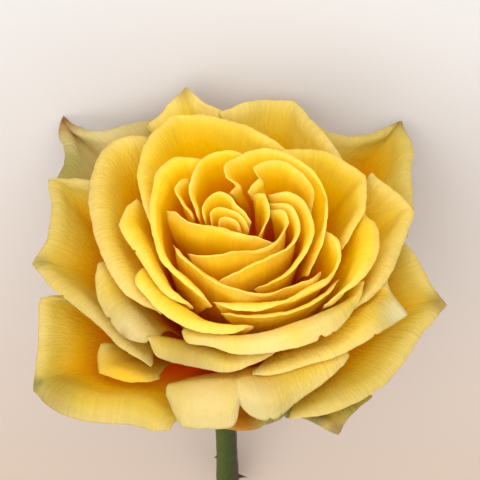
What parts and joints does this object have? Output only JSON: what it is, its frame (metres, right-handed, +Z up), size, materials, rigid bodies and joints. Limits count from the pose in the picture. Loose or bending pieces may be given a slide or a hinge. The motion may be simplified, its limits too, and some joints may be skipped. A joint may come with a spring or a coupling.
{
  "type": "cut rose",
  "caption": "Open yellow rose bloom with layered, reflexed petals on a short cut stem, lying down on its back petals and the end of its stem.",
  "frame": {"origin": "middle of the underside of the lying rose, on the surface that it rests on", "axes": "+Z up, +Y from the cut end of the stem towards the open face of the bloom, X across the bloom"},
  "size_m": [0.1088, 0.1404, 0.0958],
  "materials": {
    "heart_petal": "soft petal skin, satin",
    "inner_petal": "soft petal skin, satin",
    "middle_petal": "soft petal skin, satin",
    "outer_petal": "soft petal skin, satin",
    "guard_petal": "soft petal skin, satin",
    "stem": "smooth green bark, semi-matt",
    "sepal": "downy leaf, matt"
  },
  "bodies": {
    "root": {"heart_petal_1": "heart_petal", "heart_petal_2": "heart_petal", "heart_petal_3": "heart_petal", "heart_petal_4": "heart_petal", "heart_petal_5": "heart_petal", "heart_petal_6": "heart_petal", "heart_petal_7": "heart_petal", "inner_petal_1": "inner_petal", "inner_petal_2": "inner_petal", "inner_petal_3": "inner_petal", "inner_petal_4": "inner_petal", "inner_petal_5": "inner_petal", "inner_petal_6": "inner_petal", "inner_petal_7": "inner_petal", "inner_petal_8": "inner_petal", "inner_petal_9": "inner_petal", "middle_petal_1": "middle_petal", "middle_petal_2": "middle_petal", "middle_petal_3": "middle_petal", "middle_petal_4": "middle_petal", "middle_petal_5": "middle_petal", "middle_petal_6": "middle_petal", "outer_petal_1": "outer_petal", "outer_petal_2": "outer_petal", "outer_petal_3": "outer_petal", "outer_petal_4": "outer_petal", "outer_petal_5": "outer_petal", "outer_petal_6": "outer_petal", "outer_petal_7": "outer_petal", "outer_petal_8": "outer_petal", "guard_petal_1": "guard_petal", "guard_petal_2": "guard_petal", "guard_petal_3": "guard_petal", "guard_petal_4": "guard_petal", "guard_petal_5": "guard_petal", "guard_petal_6": "guard_petal", "guard_petal_7": "guard_petal", "stem_and_hip": "stem", "sepal_1": "sepal", "sepal_2": "sepal", "sepal_3": "sepal", "sepal_4": "sepal", "sepal_5": "sepal"}
  },
  "joints": []
}
